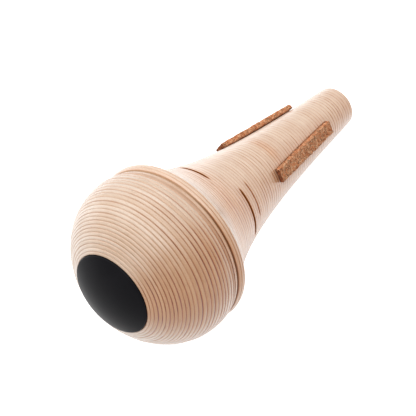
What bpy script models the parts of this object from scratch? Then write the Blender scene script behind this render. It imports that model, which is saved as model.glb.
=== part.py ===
"""Trumpet straight mute: a ring-built wooden bulb glued to a flared neck, with three cork strips.

The mute is modelled along local Z, from the pole of the bulb at 0 to the open end of the neck,
and is then laid on the XY plane as it lies on a table.
"""

import math

import bmesh
import bpy
import numpy as np
from mathutils import Matrix

# Bulb, in metres
BULB_RADIUS = 0.0378
BULB_DEPTH = 0.0320
BULB_WALL = 0.0040
SHOULDER_LENGTH = 0.0074
GROOVE_DEPTH = 0.0013

# Rounded rings that the bulb is built of
RING_WIDTH_AT_BADGE = 0.0015
RING_WIDTH_AT_SEAM = 0.0019
RING_RELIEF = 0.00025

# Lap joint between the bulb and the neck
TONGUE_LENGTH = 0.0030
TONGUE_THICKNESS = 0.0016

# Neck
NECK_LENGTH = 0.1286
TIP_RADIUS = 0.0102
TIP_WALL = 0.0024
TIP_ROUNDING = 0.0005
BEAD_WIDTH = 0.0042
BEAD_HEIGHT = 0.0009
FLARE_REACH = 0.0158
FLARE_DROP = 0.0196
TAPER_REACH = 0.0346
TAPER_DROP = 0.0031

# Badge and the plug under it
BADGE_RADIUS = 0.0182
BADGE_THICKNESS = 0.0010
BADGE_INLAY = 0.0009
BADGE_EDGE = 0.0003
PLUG_RADIUS = 0.0166
PLUG_CHAMFER = 0.0005

# Cork strips
CORK_COUNT = 3
CORK_START = 0.0576
CORK_LENGTH = 0.0473
CORK_WIDTH = 0.0063
CORK_THICKNESS = 0.0026
CORK_ROUNDING = 0.0004

# Glue line left between any two pieces
GLUE_GAP = 0.0003

# Facets round a turned piece, and along its curves
FACETS = 48
CURVE_POINTS = 200
BULB_INSIDE_POINTS = 11
NECK_OUTSIDE_POINTS = 24
NECK_INSIDE_POINTS = 15
BEAD_POINTS = 9
BADGE_POINTS = 9
CORNER_POINTS = 4
SMOOTH_ANGLE = math.radians(50)

# Places worked out from the sizes above
SEAM = BULB_DEPTH + SHOULDER_LENGTH
MUTE_LENGTH = SEAM + NECK_LENGTH
SEAM_RADIUS = BULB_RADIUS - GROOVE_DEPTH
BULB_INSIDE_RADIUS = BULB_RADIUS - BULB_WALL
TONGUE_RADIUS = BULB_INSIDE_RADIUS + TONGUE_THICKNESS
BEAD_END = SEAM + BEAD_WIDTH


def clear_scene():
    for obj in list(bpy.data.objects):
        bpy.data.objects.remove(obj, do_unlink=True)


def new_collection(name):
    collection = bpy.data.collections.new(name)
    bpy.context.scene.collection.children.link(collection)
    return collection


def material(name, colour, roughness, metallic=0.0):
    made = bpy.data.materials.new(name)
    made.use_nodes = True
    shader = made.node_tree.nodes["Principled BSDF"]
    shader.inputs["Base Color"].default_value = (*colour, 1.0)
    shader.inputs["Roughness"].default_value = roughness
    shader.inputs["Metallic"].default_value = metallic
    return made


# Outlines are arrays of (distance along the axis, radius)


def ellipse_depth(radius, depth, widest):
    """How far behind the pole an ellipse of this depth has this radius."""
    return depth - depth * math.sqrt(1 - (radius / widest) ** 2)


def ellipse_arc(start_radius, depth, widest, count, pole=0.0):
    """Quarter ellipse from a radius near its pole out to its widest circle."""
    angle = np.linspace(math.asin(start_radius / widest), math.pi / 2, count)
    return np.column_stack([pole + depth - depth * np.cos(angle), widest * np.sin(angle)])


def bezier(first, leave, arrive, last, count):
    t = np.linspace(0, 1, count)[:, None]
    s = 1 - t
    return s**3 * first + 3 * s**2 * t * leave + 3 * s * t**2 * arrive + t**3 * last


def neck_sweep(start, end, count):
    """The concave sweep that the outside and the inside of the neck share."""
    start, end = np.array(start), np.array(end)
    leave = start + np.array([FLARE_REACH, -FLARE_DROP])
    arrive = end + np.array([-TAPER_REACH, TAPER_DROP])
    return bezier(start, leave, arrive, end, count)


def ring_built(curve):
    """Cuts a smooth curve into rings: a crown in the middle of each, and a groove between two."""
    steps = np.hypot(*np.diff(curve, axis=0).T)
    along = np.concatenate([[0], np.cumsum(steps)])
    mean_width = (RING_WIDTH_AT_BADGE + RING_WIDTH_AT_SEAM) / 2
    rings = round(along[-1] / mean_width)
    share = np.arange(2 * rings + 1) / (2 * rings)
    growth = (RING_WIDTH_AT_SEAM - RING_WIDTH_AT_BADGE) / mean_width
    place = along[-1] * (share + growth * (share**2 - share) / 2)
    tangent = np.gradient(curve, axis=0)
    outward = np.column_stack([-tangent[:, 1], tangent[:, 0]])
    outward /= np.hypot(*outward.T)[:, None]
    point = np.column_stack([np.interp(place, along, curve[:, i]) for i in (0, 1)])
    normal = np.column_stack([np.interp(place, along, outward[:, i]) for i in (0, 1)])
    sunk = np.where(np.arange(len(place)) % 2 == 0, RING_RELIEF, 0.0)
    sunk[[0, -1]] = 0.0
    return point - sunk[:, None] * normal


def bulb_surface():
    """Half ellipse from the badge's edge to the widest circle, then a shoulder down to the seam."""
    cap = ellipse_arc(BADGE_RADIUS + GLUE_GAP, BULB_DEPTH, BULB_RADIUS, CURVE_POINTS)
    turn = np.linspace(0, math.pi / 2, CURVE_POINTS)[1:]
    shoulder_end = SHOULDER_LENGTH - GLUE_GAP
    shoulder = np.column_stack(
        [
            BULB_DEPTH + shoulder_end * turn / (math.pi / 2),
            BULB_RADIUS - GROOVE_DEPTH * (1 - np.cos(turn)),
        ]
    )
    return np.vstack([cap, shoulder])


def neck_surface():
    """Bead at the seam, then the flare and the taper up to the tip."""
    turn = np.linspace(0, math.pi, BEAD_POINTS)
    bead = np.column_stack(
        [SEAM + BEAD_WIDTH * (1 - np.cos(turn)) / 2, SEAM_RADIUS + BEAD_HEIGHT * np.sin(turn)]
    )
    start = (BEAD_END, SEAM_RADIUS)
    end = (MUTE_LENGTH - TIP_ROUNDING, TIP_RADIUS)
    return np.vstack([bead[:-1], neck_sweep(start, end, NECK_OUTSIDE_POINTS)])


def dome_shell_outline():
    surface = ring_built(bulb_surface())
    hole = PLUG_RADIUS + GLUE_GAP
    rebate_radius = surface[0, 1]
    rebate = [
        (ellipse_depth(rebate_radius, BULB_DEPTH, BULB_RADIUS) + BADGE_INLAY, rebate_radius),
        (ellipse_depth(hole, BULB_DEPTH, BULB_RADIUS) + BADGE_INLAY, hole),
    ]
    inside = ellipse_arc(
        hole,
        BULB_DEPTH - BULB_WALL,
        BULB_INSIDE_RADIUS,
        BULB_INSIDE_POINTS,
        pole=BULB_WALL,
    )
    tongue = [
        (SEAM + TONGUE_LENGTH, BULB_INSIDE_RADIUS),
        (SEAM + TONGUE_LENGTH, TONGUE_RADIUS),
        (SEAM - GLUE_GAP, TONGUE_RADIUS),
    ]
    return np.vstack([surface[::-1], rebate, inside, tongue])


def neck_shell_outline():
    surface = neck_surface()
    turn = np.linspace(0, math.pi / 2, CORNER_POINTS)[1:]
    rounding = np.column_stack(
        [
            MUTE_LENGTH - TIP_ROUNDING * (1 - np.sin(turn)),
            TIP_RADIUS - TIP_ROUNDING * (1 - np.cos(turn)),
        ]
    )
    lip = TONGUE_RADIUS + GLUE_GAP
    floor = SEAM + TONGUE_LENGTH + GLUE_GAP
    inside = neck_sweep(
        (floor, BULB_INSIDE_RADIUS), (MUTE_LENGTH, TIP_RADIUS - TIP_WALL), NECK_INSIDE_POINTS
    )
    socket = [(SEAM, lip), (floor, lip)]
    return np.vstack([rounding[::-1], surface[::-1], socket, inside])


def core_plug_outline():
    """Turned plug from the middle of its inner face out and down to the middle of its domed face."""
    inner_face = BULB_WALL + ellipse_depth(
        PLUG_RADIUS, BULB_DEPTH - BULB_WALL, BULB_INSIDE_RADIUS
    )
    face = ellipse_arc(0.0, BULB_DEPTH, BULB_RADIUS, CURVE_POINTS, pole=BADGE_INLAY)
    radius = np.linspace(PLUG_RADIUS, 0, BADGE_POINTS)
    domed = np.column_stack([np.interp(radius, face[:, 1], face[:, 0]), radius])
    side = [(inner_face, PLUG_RADIUS - PLUG_CHAMFER), (inner_face - PLUG_CHAMFER, PLUG_RADIUS)]
    return np.vstack([[(inner_face, 0.0)], side, domed])


def end_badge_outline():
    """Thin disc with the bulb's own curve, from the middle of its back round to its front."""
    back = BADGE_INLAY - GLUE_GAP
    front = back - BADGE_THICKNESS
    radius = np.linspace(0, 1, BADGE_POINTS)
    curve = ellipse_arc(0.0, BULB_DEPTH, BULB_RADIUS, CURVE_POINTS)

    def face(shift, outermost):
        across = radius * outermost
        return np.column_stack([np.interp(across, curve[:, 1], curve[:, 0]) + shift, across])

    front_face = face(front, BADGE_RADIUS - BADGE_EDGE)
    rim = [(front_face[-1, 0] + BADGE_EDGE, BADGE_RADIUS)]
    return np.vstack([face(back, BADGE_RADIUS), rim, front_face[::-1]])


def mesh_object(name, mesh, collection, finish=None):
    obj = bpy.data.objects.new(name, mesh)
    collection.objects.link(obj)
    if finish:
        mesh.materials.append(finish)
    return obj


def turned(name, outline, collection, closed, finish=None):
    """Turns an outline, which runs down its outer side, about Z. A closed one is a ring."""
    corners = [(radius, 0.0, along) for along, radius in outline]
    edges = [(i, i + 1) for i in range(len(corners) - 1)]
    if closed:
        edges.append((len(corners) - 1, 0))
    profile = bpy.data.meshes.new(name + "_outline")
    profile.from_pydata(corners, edges, [])
    blank = mesh_object(name + "_blank", profile, collection)
    screw = blank.modifiers.new("turn", "SCREW")
    screw.axis = "Z"
    screw.steps = screw.render_steps = FACETS
    screw.use_merge_vertices = True
    screw.merge_threshold = 0.00001
    graph = bpy.context.evaluated_depsgraph_get()
    mesh = bpy.data.meshes.new_from_object(blank.evaluated_get(graph))
    mesh.name = name
    bpy.data.objects.remove(blank, do_unlink=True)
    mesh.shade_smooth()
    mesh.set_sharp_from_angle(angle=SMOOTH_ANGLE)
    return mesh_object(name, mesh, collection, finish)


def neck_cutter(collection):
    """Solid copy of the neck, one glue line larger, that shapes the underside of the corks."""
    surface = neck_surface()[BEAD_POINTS:]
    grown = surface + [0.0, GLUE_GAP]
    outline = np.vstack([[(grown[-1, 0], 0.0)], grown[::-1], [(grown[0, 0], 0.0)]])
    cutter = turned("neck_cutter", outline, collection, closed=False)
    cutter.display_type = "WIRE"
    cutter.hide_render = True
    return cutter


def cork_strip(name, angle, cutter, collection, finish):
    """Straight strip whose outer face follows the neck's taper and whose underside is hollowed."""
    surface = neck_surface()
    near = SEAM + CORK_START
    far = near + CORK_LENGTH
    near_radius, far_radius = np.interp([near, far], surface[:, 0], surface[:, 1])
    taper = math.atan2(near_radius - far_radius, CORK_LENGTH)
    buried = CORK_WIDTH / 2
    height = CORK_THICKNESS + buried
    size = Matrix.Diagonal((height, CORK_WIDTH, CORK_LENGTH, 1))
    mesh = bpy.data.meshes.new(name)
    block = bmesh.new()
    bmesh.ops.create_cube(block, size=1.0, matrix=size)
    block.to_mesh(mesh)
    block.free()
    strip = mesh_object(name, mesh, collection, finish)
    outward = (CORK_THICKNESS - buried) / 2
    middle_radius = (near_radius + far_radius) / 2 + outward * math.cos(taper)
    strip.matrix_world = (
        Matrix.Rotation(angle, 4, "Z")
        @ Matrix.Translation((middle_radius, 0, (near + far) / 2 + outward * math.sin(taper)))
        @ Matrix.Rotation(-taper, 4, "Y")
    )
    rounding = strip.modifiers.new("rounding", "BEVEL")
    rounding.width = CORK_ROUNDING
    rounding.segments = 2
    seat = strip.modifiers.new("seat", "BOOLEAN")
    seat.operation = "DIFFERENCE"
    seat.solver = "EXACT"
    seat.object = cutter
    return strip


def lay_down(axis, pieces):
    """Lays the mute on the XY plane, its open end towards +X, centred over the origin."""
    bpy.context.view_layer.update()
    graph = bpy.context.evaluated_depsgraph_get()
    points = []
    for piece in pieces:
        mesh = piece.evaluated_get(graph).to_mesh()
        local = np.empty(len(mesh.vertices) * 3, np.float32)
        mesh.vertices.foreach_get("co", local)
        matrix = np.array(piece.matrix_world)
        points.append(local.reshape(-1, 3) @ matrix[:3, :3].T + matrix[:3, 3])
    points = np.vstack(points)
    below = points[points[:, 0] > 0]
    bulb = below[below[:, 2] <= BEAD_END]
    behind = below[below[:, 2] > SEAM + CORK_START]
    rise = bulb[:, None, 0] - behind[None, :, 0]
    run = behind[None, :, 2] - bulb[:, None, 2]
    tilt = math.atan((rise / run).max(axis=0).min())
    turn = Matrix.Rotation(math.pi / 2 + tilt, 4, "Y")
    laid = points @ np.array(turn.to_3x3()).T
    low, high = laid.min(axis=0), laid.max(axis=0)
    axis.matrix_world = Matrix.Translation((-(low[0] + high[0]) / 2, 0, -low[2])) @ turn
    print("axis tilt", round(math.degrees(tilt), 3), "degrees, box", high - low)


def build():
    clear_scene()
    parts = new_collection("trumpet_straight_mute")
    cutters = new_collection("cutters")
    bulb_wood = material("bulb_wood", (0.70, 0.47, 0.31), 0.55)
    neck_wood = material("neck_wood", (0.74, 0.53, 0.39), 0.5)
    plug_wood = material("plug_wood", (0.62, 0.42, 0.27), 0.7)
    badge_black = material("badge_black", (0.015, 0.014, 0.016), 0.35)
    cork = material("cork", (0.40, 0.18, 0.09), 0.85)
    pieces = [
        turned("dome_shell", dome_shell_outline(), parts, True, bulb_wood),
        turned("neck_shell", neck_shell_outline(), parts, True, neck_wood),
        turned("core_plug", core_plug_outline(), parts, False, plug_wood),
        turned("end_badge", end_badge_outline(), parts, False, badge_black),
    ]
    cutter = neck_cutter(cutters)
    for i in range(CORK_COUNT):
        angle = 2 * math.pi * i / CORK_COUNT
        pieces.append(cork_strip(f"cork_strip_{i + 1}", angle, cutter, parts, cork))
    axis = bpy.data.objects.new("mute_axis", None)
    parts.objects.link(axis)
    for piece in [*pieces, cutter]:
        piece.parent = axis
    lay_down(axis, pieces)


build()
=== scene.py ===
# %% [markdown]
# # A trumpet straight mute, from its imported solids
# The mute is a hollow bulb of thin wooden rings, glued to a flared neck of finer rings, with a black
# badge on its end and cork strips that wedge it in a trumpet's bell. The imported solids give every
# size and place. The turned pieces have 48 facets there, so this scene turns them again, with
# hundreds of points along their outlines, where each ring gets its own rounded edge.

import math

import bpy
import numpy as np
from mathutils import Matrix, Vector


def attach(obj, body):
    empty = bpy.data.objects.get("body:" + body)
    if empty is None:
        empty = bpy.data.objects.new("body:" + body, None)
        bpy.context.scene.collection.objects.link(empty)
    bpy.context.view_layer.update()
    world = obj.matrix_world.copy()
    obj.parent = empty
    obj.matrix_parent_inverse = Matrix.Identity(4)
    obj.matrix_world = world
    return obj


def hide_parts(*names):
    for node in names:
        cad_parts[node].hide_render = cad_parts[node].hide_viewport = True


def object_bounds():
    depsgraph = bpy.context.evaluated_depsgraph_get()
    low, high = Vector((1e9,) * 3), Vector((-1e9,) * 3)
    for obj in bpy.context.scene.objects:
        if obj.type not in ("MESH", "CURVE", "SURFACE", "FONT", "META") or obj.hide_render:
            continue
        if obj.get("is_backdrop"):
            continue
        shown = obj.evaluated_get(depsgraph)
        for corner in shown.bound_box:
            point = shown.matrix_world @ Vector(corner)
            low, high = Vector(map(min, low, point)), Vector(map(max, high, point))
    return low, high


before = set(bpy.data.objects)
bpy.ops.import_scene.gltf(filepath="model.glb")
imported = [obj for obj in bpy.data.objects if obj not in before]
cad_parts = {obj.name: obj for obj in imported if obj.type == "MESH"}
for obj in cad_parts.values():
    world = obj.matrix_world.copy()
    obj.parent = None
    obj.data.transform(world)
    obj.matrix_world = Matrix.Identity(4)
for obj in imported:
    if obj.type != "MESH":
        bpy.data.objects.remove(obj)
cad_low, cad_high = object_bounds()
print("CAD nodes:", sorted(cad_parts))
print("CAD box:", [round(x, 4) for x in cad_low], [round(x, 4) for x in cad_high])

# %% [markdown]
# ## Where the mute lies
# A turned piece is easiest to describe by how far along its axis a point is, how far from the axis,
# and at which angle round it. The mute lies on its bulb and on the rim of its neck, so its axis
# slopes down towards the open end. Three directions at right angles carry that slope: ALONG the
# axis, DOWN to the table side, and ASIDE. Every surface below is worked out in these and then placed.

# %% The mute's own directions
MM = 0.001
POLE = np.array([-0.082423, 0.0, 0.045444])
TILT = math.radians(12.2276)
ALONG = np.array([math.cos(TILT), 0.0, -math.sin(TILT)])
DOWN = np.array([-math.sin(TILT), 0.0, -math.cos(TILT)])
ASIDE = np.array([0.0, 1.0, 0.0])


def placed(along, radius, angle):
    """World points: the pole, plus the way along the axis, plus the radius turned to its angle."""
    along, radius, angle = np.broadcast_arrays(along, radius, angle)
    across = np.cos(angle)[..., None] * DOWN + np.sin(angle)[..., None] * ASIDE
    return POLE + along[..., None] * ALONG + radius[..., None] * across


print("open end at", placed(168.0 * MM, 0.0, 0.0).round(4))

# %% [markdown]
# ## Sizes
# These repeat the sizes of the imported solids, so that a new surface lies where its solid does. The
# outermost surfaces stay a hair inside them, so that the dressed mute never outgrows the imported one.

# %% Sizes in metres
HAIR = 0.02 * MM
BULB_RADIUS = 37.8 * MM
BULB_DEPTH = 32.0 * MM
BULB_WALL = 4.0 * MM
SEAM = 39.4 * MM
SEAM_RADIUS = 36.5 * MM
TONGUE_LENGTH = 3.0 * MM
TONGUE_THICKNESS = 1.6 * MM
MUTE_LENGTH = 168.0 * MM - HAIR
TIP_RADIUS = 10.2 * MM - HAIR
TIP_WALL = 2.4 * MM
TIP_ROUNDING = 0.5 * MM
BEAD_WIDTH = 4.2 * MM
BEAD_HEIGHT = 0.9 * MM - HAIR
FLARE_HANDLE = np.array([15.8, -19.6]) * MM
TAPER_HANDLE = np.array([-34.6, 3.1]) * MM
BADGE_RADIUS = 18.2 * MM
BADGE_INLAY = 0.9 * MM
BADGE_THICKNESS = 1.0 * MM
BADGE_EDGE = 0.35 * MM
PLUG_RADIUS = 16.6 * MM
GLUE_GAP = 0.3 * MM
CORK_START = 97.0 * MM
CORK_LENGTH = 47.3 * MM
CORK_WIDTH = 6.3 * MM
CORK_THICKNESS = 2.6 * MM
CORK_CORNER = 0.4 * MM
BEAD_END = SEAM + BEAD_WIDTH
INSIDE_RADIUS = BULB_RADIUS - BULB_WALL
TONGUE_RADIUS = INSIDE_RADIUS + TONGUE_THICKNESS
print("neck", round((MUTE_LENGTH - SEAM) / MM, 1), "mm long, bulb", round(2 * BULB_RADIUS / MM, 1), "mm across")

# %% [markdown]
# ## Outlines
# An outline is two columns of numbers, the distance along the axis and the radius. The bulb is a
# quarter of an ellipse that ends in a small shoulder, and the neck is one cubic curve with a handle
# at each end, which gives the long hollow sweep of the real one.


# %% Smooth outlines
def ellipse(start_radius, depth, widest, count, pole=0.0):
    """Quarter ellipse: along = depth - depth cos t, radius = widest sin t, from a radius outwards."""
    t = np.linspace(math.asin(start_radius / widest), math.pi / 2, count)
    return np.column_stack([pole + depth - depth * np.cos(t), widest * np.sin(t)])


def sweep(start, end, count):
    """Cubic curve from start to end that leaves and arrives along the two handles."""
    t = np.linspace(0, 1, count)[:, None]
    s = 1 - t
    leave, arrive = start + FLARE_HANDLE, end + TAPER_HANDLE
    return s**3 * start + 3 * s**2 * t * leave + 3 * s * t**2 * arrive + t**3 * end


def bulb_outline(count=400):
    """Ellipse from the badge's edge to the widest circle, then a shoulder that drops by a cosine."""
    cap = ellipse(BADGE_RADIUS + GLUE_GAP, BULB_DEPTH, BULB_RADIUS, count)
    t = np.linspace(0, math.pi / 2, count // 2)[1:]
    reach = SEAM - GLUE_GAP - BULB_DEPTH
    drop = (BULB_RADIUS - SEAM_RADIUS) * (1 - np.cos(t))
    return np.vstack([cap, np.column_stack([BULB_DEPTH + reach * t * 2 / math.pi, BULB_RADIUS - drop])])


def neck_outline(count=900):
    """The neck's outside from the bead's end to where the tip's edge starts to round."""
    return sweep(np.array([BEAD_END, SEAM_RADIUS]), np.array([MUTE_LENGTH - TIP_ROUNDING, TIP_RADIUS]), count)


def neck_radius(along):
    """Radius of the neck's outside at a distance along the axis."""
    outline = neck_outline()
    return np.interp(along, outline[:, 0], outline[:, 1])


print("bulb outline", len(bulb_outline()), "points, neck outline", len(neck_outline()), "points")

# %% [markdown]
# ## Rings
# The real walls are thin wooden rings glued side by side and sanded. Each ring keeps a slightly
# rounded edge, and no two are quite as wide or as high. So the outline is walked along its length,
# cut at uneven edges, and pushed in near each edge. The same count, running on from ring to ring,
# is stored on the mesh as the attribute "ring", and the wood's finish finds its glue lines with it.


# %% Uneven rings along an outline
def outline_length(outline):
    """Distance walked along the outline at each of its points."""
    return np.concatenate([[0], np.cumsum(np.hypot(*np.diff(outline, axis=0).T))])


def ring_edges(length, first, last, unevenness, seed):
    """Where the rings end: widths grow evenly from first to last, each off by a random share."""
    random = np.random.default_rng(seed)
    count = round(length / ((first + last) / 2))
    widths = np.linspace(first, last, count) * (1 + unevenness * random.uniform(-1, 1, count))
    edges = np.concatenate([[0], np.cumsum(widths)])
    return edges * length / edges[-1]


def ringed(outline, edges, relief, steps, seed):
    """Points at the given steps of each ring, pushed in by the fourth power of the way from its crown."""
    random = np.random.default_rng(seed)
    walked = outline_length(outline)
    count = len(edges) - 1
    place = (edges[:-1, None] + np.diff(edges)[:, None] * steps).ravel()
    ring = (np.arange(count)[:, None] + steps).ravel()
    place, ring = np.append(place, edges[-1]), np.append(ring, float(count))
    tangent = np.gradient(outline, axis=0)
    outward = np.column_stack([-tangent[:, 1], tangent[:, 0]]) / np.hypot(*tangent.T)[:, None]
    point = np.column_stack([np.interp(place, walked, outline[:, i]) for i in (0, 1)])
    normal = np.column_stack([np.interp(place, walked, outward[:, i]) for i in (0, 1)])
    own_height = 0.25 * random.uniform(0, 1, count + 1)[ring.astype(int)]
    sunk = relief * (own_height + np.abs(2 * (ring % 1.0) - 1) ** 4)
    return point - sunk[:, None] * normal, ring


BULB_STEPS = np.array([0.0, 0.05, 0.12, 0.24, 0.4, 0.6, 0.76, 0.88, 0.95])
NECK_STEPS = np.array([0.0, 0.1, 0.24, 0.76, 0.9])
LAST_RING = 2.5 * MM
bulb_length = outline_length(bulb_outline())[-1]
bulb_edges = np.append(ring_edges(bulb_length - LAST_RING, 1.5 * MM, 1.9 * MM, 0.14, 3), bulb_length)
neck_edges = ring_edges(outline_length(neck_outline())[-1], 1.9 * MM, 1.9 * MM, 0.16, 5)
print(len(bulb_edges) - 1, "rings on the bulb,", len(neck_edges) - 1, "on the neck")

# %% [markdown]
# ## From outline to mesh
# A grid of points, one row for each point of the outline and one column for each angle, becomes a
# closed turned body when both directions join up with their own start. The signed volume of the
# result tells whether its faces look outwards, and the faces are turned round if it is negative.
# An outline that runs from pole to pole stops a hair short of the axis, where a fan closes it.


# %% Mesh helpers
def grid_faces(rows, columns, join_rows):
    """Four-sided faces between neighbouring rows and columns. Columns always join up."""
    row = np.arange(rows if join_rows else rows - 1)[:, None]
    column = np.arange(columns)[None, :]
    next_row, next_column = (row + 1) % rows, (column + 1) % columns
    corners = [row * columns + column, row * columns + next_column,
               next_row * columns + next_column, next_row * columns + column]
    return np.stack(np.broadcast_arrays(*corners), axis=-1).reshape(-1, 4)


def signed_volume(points, faces):
    """Sum of the tetrahedra from the origin to each half of each face, positive if faces look out."""
    a, b, c, d = (points[faces[:, i]] for i in range(4))
    first = np.einsum("ij,ij->i", a, np.cross(b, c)).sum()
    return (first + np.einsum("ij,ij->i", a, np.cross(c, d)).sum()) / 6


def end_caps(rows, columns):
    """Corners of the two faces that close an open grid at its first and its last row."""
    column = np.arange(columns)
    return column[::-1], (rows - 1) * columns + column


def put_mesh(name, points, faces, attributes=None, caps=()):
    """Object at the origin with this mesh, smooth, faces outwards, and one number a vertex by name."""
    points = np.asarray(points, np.float64).reshape(-1, 3)
    volume = signed_volume(points, faces)
    if volume < 0:
        faces, caps = faces[:, ::-1], [cap[::-1] for cap in caps]
    corners = np.concatenate([faces.ravel(), *caps])
    sizes = np.concatenate([np.full(len(faces), 4), [len(cap) for cap in caps]]).astype(int)
    mesh = bpy.data.meshes.new(name)
    mesh.vertices.add(len(points))
    mesh.vertices.foreach_set("co", points.astype(np.float32).ravel())
    mesh.loops.add(len(corners))
    mesh.loops.foreach_set("vertex_index", corners.astype(np.int32))
    mesh.polygons.add(len(sizes))
    mesh.polygons.foreach_set("loop_start", (np.cumsum(sizes) - sizes).astype(np.int32))
    mesh.update(calc_edges=True)
    for key, values in (attributes or {}).items():
        layer = mesh.attributes.new(key, "FLOAT", "POINT")
        layer.data.foreach_set("value", np.asarray(values, np.float32).ravel())
    mesh.validate()
    mesh.shade_smooth()
    obj = bpy.data.objects.new(name, mesh)
    bpy.context.scene.collection.objects.link(obj)
    print(name, len(points), "points,", int((sizes - 2).sum()), "triangles,",
          round(abs(volume) * 1e6, 2), "cm3")
    return obj


def dress(obj, slot, material, *nodes):
    """Rides on the only body, stands for the CAD nodes, and takes its finish."""
    obj.data.materials.append(material)
    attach(obj, "root")
    if nodes:
        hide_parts(*nodes)
    return obj

# %% [markdown]
# ## Shared effects of the finishes
# Both wooden pieces need the same things: to know where on the mute a point is, and to draw rings,
# glue lines and fibres there. Each effect is a node group with named sockets, built once. The first
# turns Object coordinates into the distance along the axis and the radius, both in millimetres, and
# into the cosine and sine of the angle round the axis.


# %% Small node helpers
def node(tree, kind, inputs=None, **settings):
    """New node with its settings, its inputs given as values or as sockets to link from."""
    made = tree.nodes.new(kind)
    for key, value in settings.items():
        setattr(made, key, value)
    for key, value in (inputs or {}).items():
        if isinstance(value, bpy.types.NodeSocket):
            tree.links.new(value, made.inputs[key])
        else:
            made.inputs[key].default_value = value
    return made


def calc(tree, operation, a, b=0.0, c=0.0):
    """Output of a Math node."""
    return node(tree, "ShaderNodeMath", {0: a, 1: b, 2: c}, operation=operation).outputs[0]


def times(tree, *factors):
    """Product of all the factors."""
    product = factors[0]
    for factor in factors[1:]:
        product = calc(tree, "MULTIPLY", product, factor)
    return product


def ramp(tree, value, low, high, to_low=0.0, to_high=1.0):
    """Smooth step of a value from one range to another, held at both ends."""
    made = node(tree, "ShaderNodeMapRange", {"Value": value, "From Min": low, "From Max": high,
                "To Min": to_low, "To Max": to_high}, interpolation_type="SMOOTHSTEP", clamp=True)
    return made.outputs["Result"]


def blend(tree, factor, a, b, mode="MIX"):
    """Output of a colour Mix node, whose colour sockets are numbers 6 and 7."""
    return node(tree, "ShaderNodeMix", {0: factor, 6: a, 7: b}, data_type="RGBA", blend_type=mode,
                clamp_factor=True).outputs[2]


def tinted(tree, factor, colour, tint):
    """The colour, multiplied by the tint as far as the factor says."""
    return blend(tree, factor, colour, tint, "MULTIPLY")


def vector(tree, x, y, z):
    """A vector from three numbers."""
    return node(tree, "ShaderNodeCombineXYZ", {"X": x, "Y": y, "Z": z}).outputs[0]


def noise(tree, place, scale=1.0, detail=2.0, roughness=0.5):
    """Soft noise from 0 to 1."""
    made = node(tree, "ShaderNodeTexNoise", {"Vector": place, "Scale": scale, "Detail": detail,
                "Roughness": roughness}, noise_dimensions="3D")
    return made.outputs["Fac"]


def chance(tree, value):
    """A random number from 0 to 1 that belongs to this value."""
    return node(tree, "ShaderNodeTexWhiteNoise", {"W": value}, noise_dimensions="1D").outputs["Value"]


def stored(tree, name):
    """A number stored on the mesh."""
    return node(tree, "ShaderNodeAttribute", attribute_name=name).outputs["Fac"]


def new_group(name, inputs, outputs):
    """Node group with named sockets, given as (name, kind, value) and (name, kind)."""
    group = bpy.data.node_groups.new(name, "ShaderNodeTree")
    for label, kind, value in inputs:
        socket = group.interface.new_socket(label, in_out="INPUT", socket_type="NodeSocket" + kind)
        socket.default_value = value
    for label, kind in outputs:
        group.interface.new_socket(label, in_out="OUTPUT", socket_type="NodeSocket" + kind)
    return group, group.nodes.new("NodeGroupInput").outputs, group.nodes.new("NodeGroupOutput").inputs


def use_group(tree, group, inputs=None):
    """Outputs of a new node that holds this group."""
    return node(tree, "ShaderNodeGroup", inputs, node_tree=group).outputs


# %% Group: where on the mute
def build_place_group():
    """Along and Radius in millimetres, and the angle round the axis as Cos (down) and Sin (aside)."""
    tree, _, out = new_group("place_on_mute", [], [(n, "Float") for n in ("Along", "Radius", "Cos", "Sin")])
    coords = node(tree, "ShaderNodeTexCoord").outputs["Object"]
    turned = node(tree, "ShaderNodeMapping", {"Vector": coords, "Location": POLE.tolist(),
                  "Rotation": (0.0, math.pi / 2 + TILT, 0.0), "Scale": (MM, MM, MM)}, vector_type="TEXTURE")
    x, y, z = node(tree, "ShaderNodeSeparateXYZ", {"Vector": turned.outputs[0]}).outputs
    radius = calc(tree, "SQRT", calc(tree, "ADD", times(tree, x, x), times(tree, y, y)))
    safe = calc(tree, "MAXIMUM", radius, 0.01)
    for label, value in (("Along", z), ("Radius", radius), ("Cos", calc(tree, "DIVIDE", x, safe)),
                         ("Sin", calc(tree, "DIVIDE", y, safe))):
        tree.links.new(value, out[label])
    return tree


place_group = build_place_group()
print("group", place_group.name, "gives", [s.name for s in place_group.interface.items_tree])

# %% [markdown]
# The second group draws the ring-built wood. The whole part of the ring count picks a random tone
# for each ring, and broad blotches run over several rings. The nearest whole number is a glue line:
# a soft brown edge on both sides of it, a thin dark core that comes and goes on the way round, and a
# painted highlight before it, a pale lip where the ring's rounded edge would catch the light. Fibres
# run round the mute, because each ring is a bent strip, so their noise is stretched that way: slow in
# the angle and fast across the ring. Its highest peaks are the open pores, short thin dark dashes
# along the fibre.


# %% Group: ring-built wood
EDGE_REACH = 0.36
CORE_REACH = 0.15
PORE_TINT = (0.62, 0.42, 0.28, 1.0)


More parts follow.
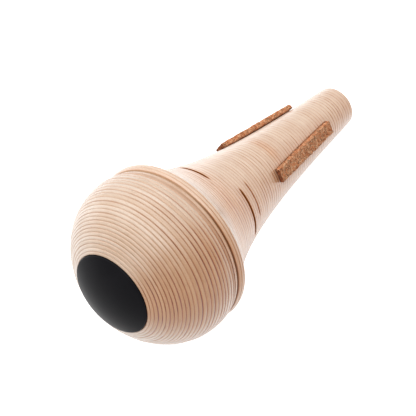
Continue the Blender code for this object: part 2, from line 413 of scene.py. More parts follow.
def build_wood_group():
    """Colour, Roughness and Height of ring-built wood for a ring count."""
    colours = [(name, "Color", (1.0, 1.0, 1.0, 1.0)) for name in ("Pale", "Deep", "Edge", "Core")]
    amounts = [(name, "Float", 0.8) for name in ("Edge Strength", "Core Strength", "Tone Spread")]
    tree, take, out = new_group("ring_built_wood", [("Ring", "Float", 0.0), *colours, *amounts],
                                [("Color", "Color"), ("Roughness", "Float"), ("Height", "Float")])
    place = use_group(tree, place_group)
    ring, cos, sin = take["Ring"], place["Cos"], place["Sin"]
    index, nearest = calc(tree, "FLOOR", ring), calc(tree, "ROUND", ring)

    def round_and_round(turns, across):
        """Noise place that moves slowly round the mute and as given across it."""
        return vector(tree, times(tree, cos, turns), times(tree, sin, turns), across)

    def centred(value):
        return calc(tree, "SUBTRACT", value, 0.5)

    streak = noise(tree, round_and_round(7.0, times(tree, ring, 5.0)), detail=3.0, roughness=0.6)
    fibre = noise(tree, round_and_round(34.0, times(tree, ring, 26.0)))
    pores = ramp(tree, noise(tree, round_and_round(48.0, times(tree, ring, 17.0)), detail=1.0), 0.6, 0.76)
    tone = calc(tree, "MULTIPLY_ADD", centred(chance(tree, index)), take["Tone Spread"], 0.5)
    for part, weight in ((noise(tree, round_and_round(1.6, times(tree, index, 3.7))), 1.0),
                         (noise(tree, round_and_round(2.4, times(tree, place["Along"], 0.12))), 1.3),
                         (streak, 1.15), (fibre, 1.25)):
        tone = calc(tree, "MULTIPLY_ADD", centred(part), weight, tone)
    wood = blend(tree, tone, take["Pale"], take["Deep"])
    wood = tinted(tree, times(tree, pores, 0.65), wood, PORE_TINT)

    apart = calc(tree, "ABSOLUTE", calc(tree, "SUBTRACT", ring, nearest))
    share = chance(tree, calc(tree, "ADD", nearest, 0.61))
    going = ramp(tree, noise(tree, round_and_round(2.6, times(tree, nearest, 5.3))), 0.32, 0.68)
    edge = times(tree, ramp(tree, apart, 0.0, EDGE_REACH, 1.0, 0.0), take["Edge Strength"],
                 calc(tree, "MULTIPLY_ADD", share, 0.6, 0.5), calc(tree, "MULTIPLY_ADD", going, 0.5, 0.65))
    core = times(tree, ramp(tree, apart, 0.0, CORE_REACH, 1.0, 0.0), take["Core Strength"],
                 calc(tree, "MULTIPLY_ADD", times(tree, share, share), 0.9, 0.25),
                 calc(tree, "MULTIPLY_ADD", going, 0.9, 0.25))
    across = calc(tree, "FRACT", ring)
    # Painted highlight: a pale lip before each glue line, where the ring's edge would catch the light.
    lip = times(tree, ramp(tree, across, 0.5, 0.78), ramp(tree, across, 0.84, 0.96, 1.0, 0.0), 0.3)
    lined = tinted(tree, core, tinted(tree, edge, wood, take["Edge"]), take["Core"])
    tree.links.new(blend(tree, lip, lined, take["Pale"]), out["Color"])
    tree.links.new(calc(tree, "MULTIPLY_ADD", streak, 0.18, 0.36), out["Roughness"])
    relief = calc(tree, "SUBTRACT", times(tree, fibre, 0.6), times(tree, pores, 0.5))
    tree.links.new(calc(tree, "SUBTRACT", relief, core), out["Height"])
    return tree


wood_group = build_wood_group()
print("group", wood_group.name, "has", len(wood_group.nodes), "nodes")

# %% [markdown]
# ## Finish of the turned wood
# The wood is pale and pinkish under a thin soft lacquer. Attributes on the mesh say where it is
# warmer, which also makes its lines stronger: this is painted shade on the low front side and real
# stains elsewhere. They also say where a joint is open: there glue has soaked into the wood, and the
# middle is dark and bare; the same darkening paints shade into the seam's groove and onto the bead's
# lines, towards the camera. The lacquer bends light more the flatter one looks along it, which gives
# the pale haze at the outline. The neck's lines are finer than the bulb's.


# %% Finish for the turned wood
LACQUER = 0.9
LACQUER_IOR = 1.5
BARE_SHINE = 0.5
FIBRE_SHEEN = 0.35
EDGE_HAZE = 6.0
HAZE_POWER = 5.0
SHADE_AND_STAIN_TINT = (0.88, 0.55, 0.27, 1.0)
SOAKED_AND_SHADED_TINT = (0.58, 0.30, 0.13, 1.0)
OPEN_JOINT_AND_SHADE_BROWN = (0.11, 0.030, 0.008, 1.0)


def principled(name, **settings):
    """Material with its Principled BSDF and the settings that are the same all over."""
    material = bpy.data.materials.new(name)
    material.use_nodes = True
    shader = material.node_tree.nodes["Principled BSDF"]
    for key, value in settings.items():
        shader.inputs[key.replace("_", " ")].default_value = value
    return material, material.node_tree, shader


def bump(tree, shader, height, strength, distance):
    """Lets a height turn the shader's normal."""
    made = node(tree, "ShaderNodeBump", {"Height": height, "Strength": strength, "Distance": distance})
    tree.links.new(made.outputs[0], shader.inputs["Normal"])


def turned_wood(name, edge, core, spread, colours):
    """Ring-built wood, warmer and with stronger lines where an attribute asks for it, which is painted
    shade on the low front side and real stains elsewhere, and dark and dull at open joints and, as
    painted shade, in the seam's groove. edge and core give each line's strength where that attribute
    is 0 and how much its full amount adds to it."""
    material, tree, shader = principled(name, IOR=1.5, Sheen_Roughness=0.3, Coat_Roughness=0.25)
    inputs = {key: (*colour, 1.0) for key, colour in colours.items()}
    # Painted shade on the low front side, and real stains: a warmer colour and stronger lines.
    shade_and_stain = stored(tree, "shade_and_stain")
    for label, (plain, added) in (("Edge Strength", edge), ("Core Strength", core)):
        inputs[label] = calc(tree, "MULTIPLY_ADD", shade_and_stain, added, plain)
    wood = use_group(tree, wood_group, {"Ring": stored(tree, "ring"), "Tone Spread": spread, **inputs})
    warm = tinted(tree, shade_and_stain, wood["Color"], SHADE_AND_STAIN_TINT)
    # Open joints and glue lines, and painted shade in the seam's groove and on the bead's lines.
    gap_and_shade = stored(tree, "open")
    closed = ramp(tree, gap_and_shade, 0.03, 0.4, 1.0, 0.0)
    soaked_and_shaded = tinted(tree, ramp(tree, gap_and_shade, 0.05, 0.5), warm, SOAKED_AND_SHADED_TINT)
    colour = blend(tree, ramp(tree, gap_and_shade, 0.3, 0.9), soaked_and_shaded, OPEN_JOINT_AND_SHADE_BROWN)
    tree.links.new(colour, shader.inputs["Base Color"])
    tree.links.new(wood["Roughness"], shader.inputs["Roughness"])
    tree.links.new(times(tree, closed, LACQUER), shader.inputs["Coat Weight"])
    tree.links.new(times(tree, closed, FIBRE_SHEEN), shader.inputs["Sheen Weight"])
    tree.links.new(times(tree, closed, BARE_SHINE), shader.inputs["Specular IOR Level"])
    grazing = node(tree, "ShaderNodeLayerWeight", {"Blend": 0.5}).outputs["Facing"]
    haze = calc(tree, "POWER", grazing, HAZE_POWER)
    tree.links.new(calc(tree, "MULTIPLY_ADD", haze, EDGE_HAZE, LACQUER_IOR), shader.inputs["Coat IOR"])
    bump(tree, shader, wood["Height"], 0.35, 0.1 * MM)
    return material


bulb_wood = turned_wood(
    "lacquered_bulb_wood", (0.5, 1.2), (0.42, 2.0), 0.65,
    {"Pale": (0.82, 0.65, 0.515), "Deep": (0.69, 0.47, 0.312),
     "Edge": (0.74, 0.45, 0.24), "Core": (0.46, 0.20, 0.06)})
neck_wood = turned_wood(
    "lacquered_neck_wood", (0.75, 0.9), (0.8, 1.5), 0.7,
    {"Pale": (0.91, 0.69, 0.525), "Deep": (0.80, 0.55, 0.39),
     "Edge": (0.87, 0.71, 0.56), "Core": (0.62, 0.35, 0.17)})
print("wood finishes:", bulb_wood.name, neck_wood.name)

# %% [markdown]
# ## The bulb
# The bulb's outline runs down its ringed outside, along the inner wall and round the tongue that
# enters the neck, as on the imported solid. The last ring before the seam is wider, with a deep brown
# edge, and the rings wander a little round the bulb, as sanded ones do: two sines with random
# phases, one pair for each ring, move its surface by a few hundredths of a millimetre.
#
# Attributes carry what belongs to one place. One paints shade on the low front side as a warmer
# colour with stronger lines, less of it on the shoulder, and brown bands beside the seam as the shade
# of the shoulder that slopes into the groove, deeper towards the camera; it also adds a brown patch.
# "open" marks the last joints, whose glue shows, and paints them darker towards the camera as the
# shade in the seam's groove. Each entry below gives a place and a width, in millimetres along the
# mute, and then strengths. For the last joints these are a count of joints from the end and a width
# in rings. The brown patch has an angle and a width too.


# %% Turn the bulb
BULB_COLUMNS = 256
BULB_RELIEF = 0.24 * MM
BULB_STRAY = 0.03 * MM
# The side closest to the camera, and the side where the painted shade of the low front side is deepest.
CLOSEST_SIDE = math.radians(252)
SHADED_SIDE = math.radians(262)


def wander(ring, angle, size, seed):
    """How far each ring strays outwards round the mute: two sines whose phases belong to the ring."""
    random = np.random.default_rng(seed)
    index = ring.astype(int)
    count = int(index.max()) + 1
    phase = random.uniform(0, 2 * math.pi, (2, count))[:, index, None]
    share = random.uniform(0.2, 1.0, (2, count))[:, index, None]
    return size * (share[0] * np.sin(angle + phase[0]) + share[1] * np.sin(3 * angle + phase[1])) - size


def turned_body(outline, ring, outside, columns, strays, seed):
    """Turns a closed outline; rows marked outside stray a little. Gives points, faces and the angles."""
    angle = np.arange(columns) * 2 * math.pi / columns
    moved = np.where(outside[:, None], wander(ring, angle[None, :], strays, seed), 0.0)
    points = placed(outline[:, :1], outline[:, 1:] + moved, angle[None, :])
    return points, grid_faces(len(outline), columns, True), angle


def facing(angle, side):
    """1 on one side of the mute, 0 on the opposite side, as half of one plus the cosine."""
    return 0.5 + 0.5 * np.cos(angle - side)


def bell(value, middle, width):
    """Bell curve of a value round its middle."""
    return np.exp(-(((value - middle) / width) ** 2))


outer, outer_ring = ringed(bulb_outline(), bulb_edges, BULB_RELIEF, BULB_STEPS, seed=11)
hole = PLUG_RADIUS + GLUE_GAP
rebate_end = BULB_DEPTH * (1 - math.sqrt(1 - (hole / BULB_RADIUS) ** 2)) + BADGE_INLAY
inner = ellipse(hole, BULB_DEPTH - BULB_WALL, INSIDE_RADIUS, 28, pole=BULB_WALL)
rest = np.vstack([
    [(outer[0, 0] + BADGE_INLAY, outer[0, 1]), (rebate_end, hole)], inner,
    [(SEAM + TONGUE_LENGTH, INSIDE_RADIUS), (SEAM + TONGUE_LENGTH, TONGUE_RADIUS)],
    [(SEAM - GLUE_GAP, TONGUE_RADIUS)]])
bulb_profile = np.vstack([outer[::-1], rest])
bulb_ring = np.concatenate([outer_ring[::-1], np.interp(rest[:, 0], outer[:, 0], outer_ring)])
bulb_outside = np.arange(len(bulb_profile)) < len(outer) - 1
bulb_points, bulb_faces, bulb_angle = turned_body(
    bulb_profile, bulb_ring, bulb_outside, BULB_COLUMNS, BULB_STRAY, seed=21)
print("bulb outline has", len(bulb_profile), "points")


# %% Painted shade, brown marks and open joints of the bulb
# Last joints: glue lines all round, painted darker towards the camera as the shade in the seam's groove.
LAST_JOINTS = ((1, 0.12, 0.4), (0, 0.1, 0.6))
JOINTS_ALL_ROUND = 0.1
# Painted shade on the low front side, and less of it on the shoulder.
PAINTED_SHADE_STRENGTH = 0.85
PALE_SHOULDER = (40.0, 9.0, 0.45)
SOILED_RING = (36.0, 1.2, 0.25)
# Brown bands beside the seam: painted shade of the shoulder that slopes into the groove, deeper towards the
# camera.
BROWN_BANDS = ((35.4, 1.4, 0.25, 0.0), (38.1, 1.0, 0.15, 0.35))
BROWN_PATCH = (30.0, 4.0, math.radians(234), 0.4, 0.2)

bulb_along = bulb_profile[:, :1] / MM
close = facing(bulb_angle, CLOSEST_SIDE)
bulb_joints_and_shade = np.zeros((len(bulb_profile), BULB_COLUMNS))
for from_last, width, added in LAST_JOINTS:
    joint = bell(bulb_ring, len(bulb_edges) - 1 - from_last, width)[:, None]
    # Glue lines all round, and painted shade of the groove towards the camera.
    bulb_joints_and_shade += joint * (JOINTS_ALL_ROUND + added * close**4)
ring_at, ring_width, soil = SOILED_RING
bulb_joints_and_shade = np.maximum(bulb_joints_and_shade, soil * bell(bulb_along, ring_at, ring_width))
bulb_joints_and_shade = np.where(bulb_outside[:, None], bulb_joints_and_shade, 0.0)

shoulder_at, shoulder_width, paler = PALE_SHOULDER
# Painted shade: the low front side is warmer, the shoulder less so.
bulb_shade_and_stain = PAINTED_SHADE_STRENGTH * facing(bulb_angle, SHADED_SIDE) ** 7
bulb_shade_and_stain = bulb_shade_and_stain * (1 - paler * bell(bulb_along, shoulder_at, shoulder_width))
# Brown bands of painted shade beside the seam, deeper towards the camera.
for band_at, width, all_round, added in BROWN_BANDS:
    bulb_shade_and_stain += bell(bulb_along, band_at, width) * (all_round + added * close**2)
patch_at, patch_length, patch_angle, patch_width, patch = BROWN_PATCH
bulb_shade_and_stain += patch * bell(bulb_along, patch_at, patch_length) * bell(bulb_angle, patch_angle, patch_width)
bulb = put_mesh("ringed_bulb", bulb_points, bulb_faces, {
    "ring": np.repeat(bulb_ring, BULB_COLUMNS), "shade_and_stain": np.clip(bulb_shade_and_stain, 0, 1),
    "open": np.clip(bulb_joints_and_shade, 0, 1)})
bulb.data.set_sharp_from_angle(angle=math.radians(60))
dress(bulb, "bulb_wood", bulb_wood, "dome_shell")

# %% [markdown]
# ## The neck
# The neck starts with a rounded bead of three rings against the seam and sweeps to the tip, with
# rings that are almost flush. Three joints have opened a little and show as short dark arcs. They
# are narrow grooves in the mesh as well as dark in the finish, fading out at both ends of their arc.

# %% Turn the neck
NECK_COLUMNS = 216
NECK_RELIEF = 0.08 * MM
NECK_STRAY = 0.012 * MM
OPEN_JOINTS = ((61.2, 151, 197, 1.0), (69.8, 212, 281, 1.0), (75.3, 208, 266, 0.45))
JOINT_WIDTH = 0.5 * MM
JOINT_DEPTH = 0.2 * MM
BEAD_RINGS = 3
BEAD_RELIEF = 0.2 * MM
COUNT_AT_BEAD_END = 40

t = np.linspace(0, math.pi, 37)
bead = np.column_stack([SEAM + BEAD_WIDTH * (1 - np.cos(t)) / 2, SEAM_RADIUS + BEAD_HEIGHT * np.sin(t)])
bead_ring = (bead[:, 0] - BEAD_END) / (BEAD_WIDTH / BEAD_RINGS)
between = (bead_ring > 0.5 - BEAD_RINGS) & (bead_ring < -0.5)
bead[:, 1] -= np.where(between, BEAD_RELIEF * np.abs(2 * (bead_ring % 1.0) - 1) ** 4, 0.0)
sleeve, sleeve_ring = ringed(neck_outline(), neck_edges, NECK_RELIEF, NECK_STEPS, seed=13)
t = np.linspace(0, math.pi / 2, 7)[1:]
rim = np.column_stack([MUTE_LENGTH - TIP_ROUNDING * (1 - np.sin(t)),
                       TIP_RADIUS - TIP_ROUNDING * (1 - np.cos(t))])
lip, floor_at = TONGUE_RADIUS + GLUE_GAP, SEAM + TONGUE_LENGTH + GLUE_GAP
bore = sweep(np.array([floor_at, INSIDE_RADIUS]), np.array([MUTE_LENGTH, TIP_RADIUS - TIP_WALL]), 60)
neck_profile = np.vstack([rim[::-1], sleeve[::-1], bead[-2::-1], [(SEAM, lip), (floor_at, lip)], bore])
neck_ring = COUNT_AT_BEAD_END + np.concatenate([
    np.full(len(rim), sleeve_ring[-1] + 0.5), sleeve_ring[::-1], bead_ring[-2::-1],
    np.full(2, -float(BEAD_RINGS)), np.interp(bore[:, 0], sleeve[:, 0], sleeve_ring)])
row = np.arange(len(neck_profile)) - len(rim)
on_sleeve = (row >= 0) & (row < len(sleeve))
on_bead = (row >= len(sleeve)) & (row < len(sleeve) + len(bead) - 1)
neck_points, neck_faces, neck_angle = turned_body(
    neck_profile, neck_ring, on_sleeve, NECK_COLUMNS, NECK_STRAY, seed=22)
print("neck outline has", len(neck_profile), "points")


# %% Open joints of the neck
def arc_mask(angle, first, last, soft=math.radians(12)):
    """1 between two angles in degrees, falling smoothly to 0 at both ends."""
    first, last = math.radians(first), math.radians(last)
    rise = np.clip((angle - first) / soft, 0, 1)
    fall = np.clip((last - angle) / soft, 0, 1)
    return (rise * rise * (3 - 2 * rise)) * (fall * fall * (3 - 2 * fall))


along = neck_profile[:, :1]
joints = np.zeros((len(neck_profile), NECK_COLUMNS))
for joint_at, first, last, strength in OPEN_JOINTS:
    edge_number = np.round(np.interp(joint_at * MM, sleeve[:, 0], sleeve_ring))
    edge_at = np.interp(edge_number, sleeve_ring, sleeve[:, 0])
    groove = strength * bell(along, edge_at, JOINT_WIDTH) * on_sleeve[:, None]
    joints = np.maximum(joints, groove * arc_mask(neck_angle, first, last))
inward = placed(0.0, 0.0, neck_angle) - placed(0.0, 1.0, neck_angle)
neck_points += (joints * JOINT_DEPTH)[..., None] * inward
# The bead's three glue lines, painted darker towards the camera as shade.
bead_lines_and_shade = sum(bell(neck_ring, COUNT_AT_BEAD_END - number, 0.18) for number in range(BEAD_RINGS))
bead_lines_and_shade = (bead_lines_and_shade * on_bead)[:, None] * (0.08 + 0.24 * facing(neck_angle, CLOSEST_SIDE) ** 2)
share_open = float((joints > 0.5).mean())
print(len(OPEN_JOINTS), "open joints cover", round(share_open * 100, 2), "percent of the neck")

# %% [markdown]
# The neck's bands lie along it, each with a place, a width and a strength. The low front side gets
# painted shade like the bulb's, as a warmer colour, most of all on the flare and least on the bead,
# which catches the light. The flare is a little warmer all round, the tip a little browner, and one
# brown spot lies on top of the neck.

# %% Painted shade and colour bands of the neck, and its mesh
# Painted shade on the low front side: its strength, deepest on the flare and least on the bead.
PAINTED_SHADE_ON_NECK = 0.62
WARMEST = (62.0, 18.0, 0.25)
LESS_SHADE_ON_BEAD = (46.0, 4.0, 0.7)
WARM_FLARE = (58.0, 7.0, 0.4)
BROWN_SPOT = (103.0, 3.0, 0.45)
SPOT_FROM, SPOT_TO, SPOT_FADE = 158, 229, math.radians(22)
TIP_FROM, TIP_REACH, TIP_STRENGTH = 152.0, 16.0, 0.08
MOST_SHADE_AND_STAIN = 0.8


def band(entry):
    """Bell curve along the neck, from its place and width in millimetres and its strength."""
    at, width, strength = entry
    return strength * bell(along / MM, at, width)


# Painted shade: warmer on the low front side, least on the bead, which catches the light.
warm = (PAINTED_SHADE_ON_NECK + band(WARMEST)) * (1 - band(LESS_SHADE_ON_BEAD))
neck_shade_and_stain = facing(neck_angle, SHADED_SIDE) ** 6 * warm + band(WARM_FLARE)
neck_shade_and_stain = neck_shade_and_stain + band(BROWN_SPOT) * arc_mask(neck_angle, SPOT_FROM, SPOT_TO, SPOT_FADE)
neck_shade_and_stain = neck_shade_and_stain + TIP_STRENGTH * np.clip((along / MM - TIP_FROM) / TIP_REACH, 0, 1)
neck = put_mesh("ringed_neck", neck_points, neck_faces, {
    "ring": np.repeat(neck_ring, NECK_COLUMNS), "shade_and_stain": np.clip(neck_shade_and_stain, 0, MOST_SHADE_AND_STAIN),
    "open": np.clip(joints + bead_lines_and_shade, 0, 1)})
neck.data.set_sharp_from_angle(angle=math.radians(60))
dress(neck, "neck_wood", neck_wood, "neck_shell")

# %% [markdown]
# ## Dried glue
# Bulb and neck are glued at the bottom of a shallow groove, and the squeezed-out glue has dried
# there. It is pale brown, and painted dark brown on the side that is turned to the camera, as the
# shade in the groove.
# It is a ring with an oval section that fills the gap and stays a little below the wood.

# %% Turn the seam's glue
GLUE_SUNK = 0.35 * MM
GLUE_HALF_WIDTH = 0.45 * MM
GLUE_HALF_HEIGHT = 0.5 * MM
PALE_GLUE = (0.50, 0.30, 0.18, 1.0)

glue_brown, tree, shader = principled("dried_brown_glue", IOR=1.5, Specular_IOR_Level=0.2)
place = use_group(tree, place_group)
cos, sin = place["Cos"], place["Sin"]
spots = noise(tree, vector(tree, times(tree, cos, 9.0), times(tree, sin, 9.0), place["Along"]), detail=3.0)
# Painted shade: the glue turns dark brown towards the camera and stays pale brown elsewhere.
shaded_glue = blend(tree, spots, (0.13, 0.045, 0.017, 1.0), (0.30, 0.13, 0.05, 1.0))
toward = calc(tree, "ADD", times(tree, cos, math.cos(CLOSEST_SIDE)), times(tree, sin, math.sin(CLOSEST_SIDE)))
tree.links.new(blend(tree, ramp(tree, toward, 0.5, 0.98), PALE_GLUE, shaded_glue), shader.inputs["Base Color"])
tree.links.new(ramp(tree, spots, 0.3, 0.7, 0.4, 0.7), shader.inputs["Roughness"])
bump(tree, shader, spots, 0.3, 0.1 * MM)
t = np.linspace(0, 2 * math.pi, 12, endpoint=False)
seam_profile = np.column_stack([SEAM - GLUE_GAP / 2 + GLUE_HALF_WIDTH * np.cos(t),
                                SEAM_RADIUS - GLUE_SUNK + GLUE_HALF_HEIGHT * np.sin(t)])
angle = np.arange(192) * 2 * math.pi / 192
seam = put_mesh("seam_glue", placed(seam_profile[:, :1], seam_profile[:, 1:], angle),
                grid_faces(len(seam_profile), len(angle), True))
dress(seam, "plug_wood", glue_brown)

# %% [markdown]
# ## The badge
# A thin disc with the bulb's own curve sits in a shallow rebate. Its face and back are the same
# ellipse, shifted along the axis, and a quarter circle rounds its edge, where the light catches.

# %% Satin black
badge_black, tree, shader = principled("satin_black", IOR=1.48, Specular_IOR_Level=0.04)
coords = node(tree, "ShaderNodeTexCoord").outputs["Object"]
grain = noise(tree, coords, scale=2600.0)
cloud = noise(tree, coords, scale=90.0, detail=3.0)
black = blend(tree, cloud, (0.008, 0.0075, 0.009, 1.0), (0.014, 0.0135, 0.016, 1.0))
tree.links.new(black, shader.inputs["Base Color"])
tree.links.new(calc(tree, "MULTIPLY_ADD", cloud, 0.14, 0.28), shader.inputs["Roughness"])
bump(tree, shader, grain, 0.12, 0.05 * MM)
print("finish", badge_black.name)

# %% Turn the badge
BADGE_COLUMNS = 192
POLE_HOLE = 0.05 * MM
bulb_curve = ellipse(0.0, BULB_DEPTH, BULB_RADIUS, 400)


def on_bulb_curve(radius, shift):
    """Outline points at these radii on the bulb's own ellipse, shifted along the axis."""
    return np.column_stack([np.interp(radius, bulb_curve[:, 1], bulb_curve[:, 0]) + shift, radius])


face_shift = BADGE_INLAY - GLUE_GAP - BADGE_THICKNESS + HAIR
face = on_bulb_curve(np.linspace(POLE_HOLE, BADGE_RADIUS - BADGE_EDGE, 40), face_shift)
t = np.linspace(0, math.pi / 2, 9)[1:]
rounded = np.column_stack([face[-1, 0] + BADGE_EDGE * (1 - np.cos(t) + 0.55 * np.sin(t)),
                           BADGE_RADIUS - BADGE_EDGE * (1 - np.sin(t))])
back = on_bulb_curve(np.linspace(BADGE_RADIUS, POLE_HOLE, 12), face_shift + BADGE_THICKNESS)
badge_profile = np.vstack([face, rounded, back])
angle = np.arange(BADGE_COLUMNS) * 2 * math.pi / BADGE_COLUMNS
badge = put_mesh("badge_disc", placed(badge_profile[:, :1], badge_profile[:, 1:], angle),
                 grid_faces(len(badge_profile), BADGE_COLUMNS, False),
                 caps=end_caps(len(badge_profile), BADGE_COLUMNS))
badge.data.set_sharp_from_angle(angle=math.radians(50))
dress(badge, "badge_black", badge_black, "end_badge")

# %% [markdown]
# ## Cork strips
# The strips are cut from ground and pressed cork: reddish-brown granules about a millimetre across,
# with dark gaps and small pits. A strip is a section carried along the neck. Its top is flat, its
# corners are slightly rounded and its underside follows the neck. Where a point lies far from every
# granule's centre the surface is pushed in, so the pits show in the outline too. The attribute
# "end" marks the end faces, which are painted dark as shade, and "foot" the edge along the neck,
# which is painted darker as glue and as the shade where the strip meets the neck.


# %% Cork surfaces
CORK_ROWS = 190
END_ROWS = 7
UNDER_POINTS = 26
GRANULE = 0.9 * MM
PIT_DEPTH = 0.28 * MM
GROUND_ROUGHNESS = 0.05 * MM
CELLS_PER_METRE = 1250.0


def cork_section(half_width, top, bottom):
    """Closed section as (sideways, outwards), starting on the underside: a hollow arc, two sides and a
    flat top, with a quarter circle at each upper corner. bottom is the neck's radius under it."""
    side = np.linspace(-half_width, half_width, UNDER_POINTS)
    under = np.column_stack([side, np.sqrt(bottom**2 - side**2)])
    t = np.linspace(0, math.pi / 2, 6)
    right = np.column_stack([np.full(6, half_width), np.linspace(under[-1, 1], top - CORK_CORNER, 8)[1:-1]])
    corner = np.column_stack([half_width - CORK_CORNER * (1 - np.cos(t)), top - CORK_CORNER * (1 - np.sin(t))])
    over = np.column_stack([np.linspace(half_width - CORK_CORNER, 0, 13)[1:], np.full(12, top)])
    half = np.vstack([right, corner, over])
    return np.vstack([under, half, half[-2::-1] * (-1, 1)])


def pits(points, granules):
    """0 near a granule's centre and up to 1 far from all of them, as whole arrays."""
    gaps = [np.linalg.norm(points[:, None, :] - block, axis=2).min(axis=1)
            for block in np.array_split(granules, 8)]
    return np.clip(np.min(gaps, axis=0) / GRANULE - 0.5, 0, 1)


def cork_strip(name, turn, material, seed):
    """The section carried from one end to the other. Rows that shrink to the middle make the end faces."""
    random = np.random.default_rng(seed)
    step = np.concatenate([np.zeros(END_ROWS), np.linspace(0, 1, CORK_ROWS), np.ones(END_ROWS)])
    shrinking = np.linspace(0.02, 0.97, END_ROWS)
    small = np.concatenate([shrinking, np.ones(CORK_ROWS), shrinking[::-1]])
    ends_top = neck_radius(np.array([CORK_START, CORK_START + CORK_LENGTH])) + CORK_THICKNESS
    along = CORK_START + step * CORK_LENGTH
    bottom = neck_radius(along) + GLUE_GAP
    top = ends_top[0] + (ends_top[1] - ends_top[0]) * step
    section = np.array([cork_section(CORK_WIDTH / 2, high, low) for high, low in zip(top, bottom)])
    columns = section.shape[1]
    middle = np.stack([np.zeros(len(step)), (bottom + top) / 2], axis=1)[:, None, :]
    section = middle + (section - middle) * small[:, None, None]
    points = np.concatenate([np.broadcast_to(along[:, None, None], (len(step), columns, 1)), section], axis=2)
    flat = points.reshape(-1, 3)
    granules = random.uniform(flat.min(0) - MM, flat.max(0) + MM, (900, 3))
    pit = pits(flat, granules).reshape(points.shape[:2])
    ground = PIT_DEPTH * pit + random.uniform(0, GROUND_ROUGHNESS, pit.shape)
    rough = np.where(np.arange(columns) < UNDER_POINTS, 0.0, ground)
    toward_middle = middle - section
    toward_middle /= np.maximum(np.linalg.norm(toward_middle, axis=2), 1e-9)[..., None]
    section = section + toward_middle * rough[..., None]
    end_sign = np.where(step <= 0, 1.0, np.where(step >= 1, -1.0, 0.0))[:, None]
    along = along[:, None] + end_sign * pit * PIT_DEPTH
    outward = math.cos(turn) * DOWN + math.sin(turn) * ASIDE
    sideways = -math.sin(turn) * DOWN + math.cos(turn) * ASIDE
    world = POLE + along[..., None] * ALONG + section[..., 1:] * outward + section[..., :1] * sideways
    # end: the end faces, painted dark as shade. foot: the edge along the neck, painted darker as glue and
    # shade.
    end = np.broadcast_to(np.clip((1 - small) * 40, 0, 1)[:, None], pit.shape)
    foot = np.clip(1 - (section[..., 1] - bottom[:, None]) / (0.7 * MM), 0, 1)
    return put_mesh(name, world, grid_faces(len(step), columns, False), {"end": end, "foot": foot},
                    end_caps(len(step), columns))


# %% Cork finish
cork, tree, shader = principled("pressed_cork", IOR=1.4, Specular_IOR_Level=0.25)
coords = node(tree, "ShaderNodeTexCoord").outputs["Object"]
wobble = node(tree, "ShaderNodeTexNoise", {"Vector": coords, "Scale": 900.0, "Detail": 2.0}).outputs["Color"]
bent = node(tree, "ShaderNodeVectorMath", {0: wobble, 1: (0.5 * MM,) * 3, 2: coords},
            operation="MULTIPLY_ADD").outputs[0]
cell_place = {"Vector": bent, "Scale": CELLS_PER_METRE}
cells = node(tree, "ShaderNodeTexVoronoi", cell_place, feature="F1")
edges = node(tree, "ShaderNodeTexVoronoi", cell_place, feature="DISTANCE_TO_EDGE")
tone = node(tree, "ShaderNodeSeparateColor", {0: cells.outputs["Color"]}).outputs[0]
fine = noise(tree, coords, scale=2400.0, detail=3.0, roughness=0.65)
granule = blend(tree, tone, (0.74, 0.28, 0.12, 1.0), (1.0, 0.63, 0.38, 1.0))
granule = tinted(tree, ramp(tree, fine, 0.62, 0.38), granule, (0.78, 0.56, 0.44, 1.0))
rare = ramp(tree, noise(tree, coords, scale=700.0, detail=1.0), 0.4, 0.6)
gaps_between = ramp(tree, edges.outputs["Distance"], 0.02, 0.18, 1.0, 0.0)
dark = times(tree, gaps_between, calc(tree, "MULTIPLY_ADD", rare, 0.7, 0.1))
spotted = blend(tree, dark, granule, (0.085, 0.028, 0.012, 1.0))
# Glue and painted shade: darker along the foot, where the strip meets the neck.
glued_and_shaded = tinted(tree, times(tree, stored(tree, "foot"), 0.75), spotted, (0.30, 0.20, 0.15, 1.0))
# Painted shade: the end faces are darker.
cork_colour = tinted(tree, times(tree, stored(tree, "end"), 0.8), glued_and_shaded, (0.30, 0.20, 0.16, 1.0))
tree.links.new(cork_colour, shader.inputs["Base Color"])
tree.links.new(ramp(tree, fine, 0.3, 0.7, 0.75, 0.95), shader.inputs["Roughness"])
bump(tree, shader, calc(tree, "SUBTRACT", fine, dark), 0.6, 0.2 * MM)

for i in range(3):
    strip = cork_strip(f"granular_cork_{i + 1}", 2 * math.pi * i / 3, cork, 31 + i)
    dress(strip, "cork", cork, f"cork_strip_{i + 1}")

# %% [markdown]
# ## The plug
# The plug under the badge shows only through the open neck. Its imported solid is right, so it stays,
# and gets bare wood: turning marks as rings about the axis, and a grain across them.

# %% Bare wood for the plug
bare_wood, tree, shader = principled("bare_turned_wood", IOR=1.5, Specular_IOR_Level=0.3)
place = use_group(tree, place_group)
coords = node(tree, "ShaderNodeTexCoord").outputs["Object"]
from_axis = vector(tree, place["Radius"], 0.0, 0.0)
marks = node(tree, "ShaderNodeTexWave", {"Vector": from_axis, "Scale": 0.6, "Distortion": 1.5},
             wave_type="BANDS", bands_direction="X").outputs["Fac"]
stretched = node(tree, "ShaderNodeMapping", {"Vector": coords, "Scale": (900.0, 120.0, 900.0)}).outputs[0]
grain = noise(tree, stretched, detail=3.0)
turned = calc(tree, "MULTIPLY_ADD", marks, 0.25, times(tree, grain, 0.75))
bare = blend(tree, turned, (0.70, 0.50, 0.34, 1.0), (0.46, 0.27, 0.15, 1.0))
tree.links.new(bare, shader.inputs["Base Color"])
tree.links.new(ramp(tree, grain, 0.3, 0.7, 0.55, 0.8), shader.inputs["Roughness"])
bump(tree, shader, marks, 0.2, 0.1 * MM)
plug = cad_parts["core_plug"]
plug.data.materials.clear()
plug.data.materials.append(bare_wood)
print("the packed plug is kept, with the finish", bare_wood.name)

# %% [markdown]
# ## Camera
# The camera was fitted to the photograph: a lens of 97.2 mm on a 36 mm sensor, above and to the
# bulb's side, turned by a few degrees about its own line of sight.

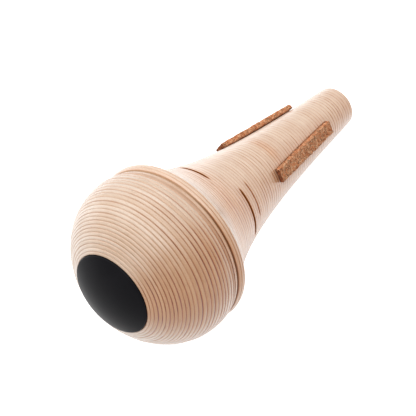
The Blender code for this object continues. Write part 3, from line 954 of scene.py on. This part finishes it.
# %% Camera
camera_data = bpy.data.cameras.new("camera")
camera_data.lens = 97.2
camera_data.sensor_width = 36.0
camera = bpy.data.objects.new("camera", camera_data)
bpy.context.scene.collection.objects.link(camera)
camera.location = (-0.23768, -0.22457, 0.39797)
camera.rotation_euler = [math.radians(x) for x in (40.3635, 7.3401, -53.1286)]
bpy.context.scene.camera = camera
print("camera", round(camera.location.length, 3), "m from the mute's middle,",
      "lens", round(camera_data.lens, 1), "mm")

# %% [markdown]
# ## Floor and light
# The mute lies on a white sweep in a light tent. Floor and world look white to the camera, in
# reflections and through anything clear, but they light the mute only weakly. A large soft lamp
# overhead and two low ones, behind the mute and to its right, give the wood its form, and the floor
# still takes the mute's shadow.

# %% Floor, world and lamps
FLOOR_GLOW = 0.9
TENT_LIGHT = 0.2


def seen_white(tree):
    """1 for rays that show the background: straight to the camera, reflected or let through."""
    rays = node(tree, "ShaderNodeLightPath").outputs
    direct_or_glossy = calc(tree, "MAXIMUM", rays["Is Camera Ray"], rays["Is Glossy Ray"])
    return calc(tree, "MAXIMUM", direct_or_glossy, rays["Is Transmission Ray"])


bpy.ops.mesh.primitive_plane_add(size=6.0, location=(0.0, 0.0, 0.0))
floor = bpy.context.object
floor.name = "studio_floor"
floor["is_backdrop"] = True
floor_white, tree, shader = principled("studio_white", Base_Color=(0.7, 0.7, 0.7, 1.0), Roughness=0.9,
                                       Emission_Color=(1.0, 1.0, 1.0, 1.0))
tree.links.new(times(tree, seen_white(tree), FLOOR_GLOW), shader.inputs["Emission Strength"])
floor.data.materials.append(floor_white)

world = bpy.data.worlds.new("tent")
bpy.context.scene.world = world
world.use_nodes = True
tent = world.node_tree.nodes["Background"]
tent.inputs["Color"].default_value = (1.0, 1.0, 1.0, 1.0)
strength = ramp(world.node_tree, seen_white(world.node_tree), 0.0, 1.0, TENT_LIGHT, 1.0)
world.node_tree.links.new(strength, tent.inputs["Strength"])


def soft_lamp(name, place, size, power):
    """Oblong area lamp that looks at the middle of the mute."""
    data = bpy.data.lights.new(name, "AREA")
    data.shape = "RECTANGLE"
    data.size, data.size_y = size
    data.energy = power
    lamp = bpy.data.objects.new(name, data)
    bpy.context.scene.collection.objects.link(lamp)
    lamp.location = place
    lamp.rotation_euler = (Vector((0.0, 0.0, 0.03)) - Vector(place)).to_track_quat("-Z", "Y").to_euler()


soft_lamp("top_lamp", (-0.10, 0.08, 0.93), (1.6, 1.0), 9.5)
soft_lamp("far_lamp", (-0.3, 1.1, 0.42), (1.0, 1.0), 2.7)
soft_lamp("right_lamp", (1.0, -0.3, 0.42), (1.0, 1.0), 1.4)
bpy.context.scene.view_settings.view_transform = "Standard"
print("lamps:", [light.name for light in bpy.data.lights], "over", floor.name)

# %% [markdown]
# ## Check the size
# The dressed mute has to fill the same box as the imported solids.

# %% Sizes
low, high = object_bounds()
beyond = max(max(c - v for c, v in zip(cad_low, low)), max(v - c for c, v in zip(cad_high, high)))
print("beyond the packed box by, in mm:", round(beyond / MM, 3))
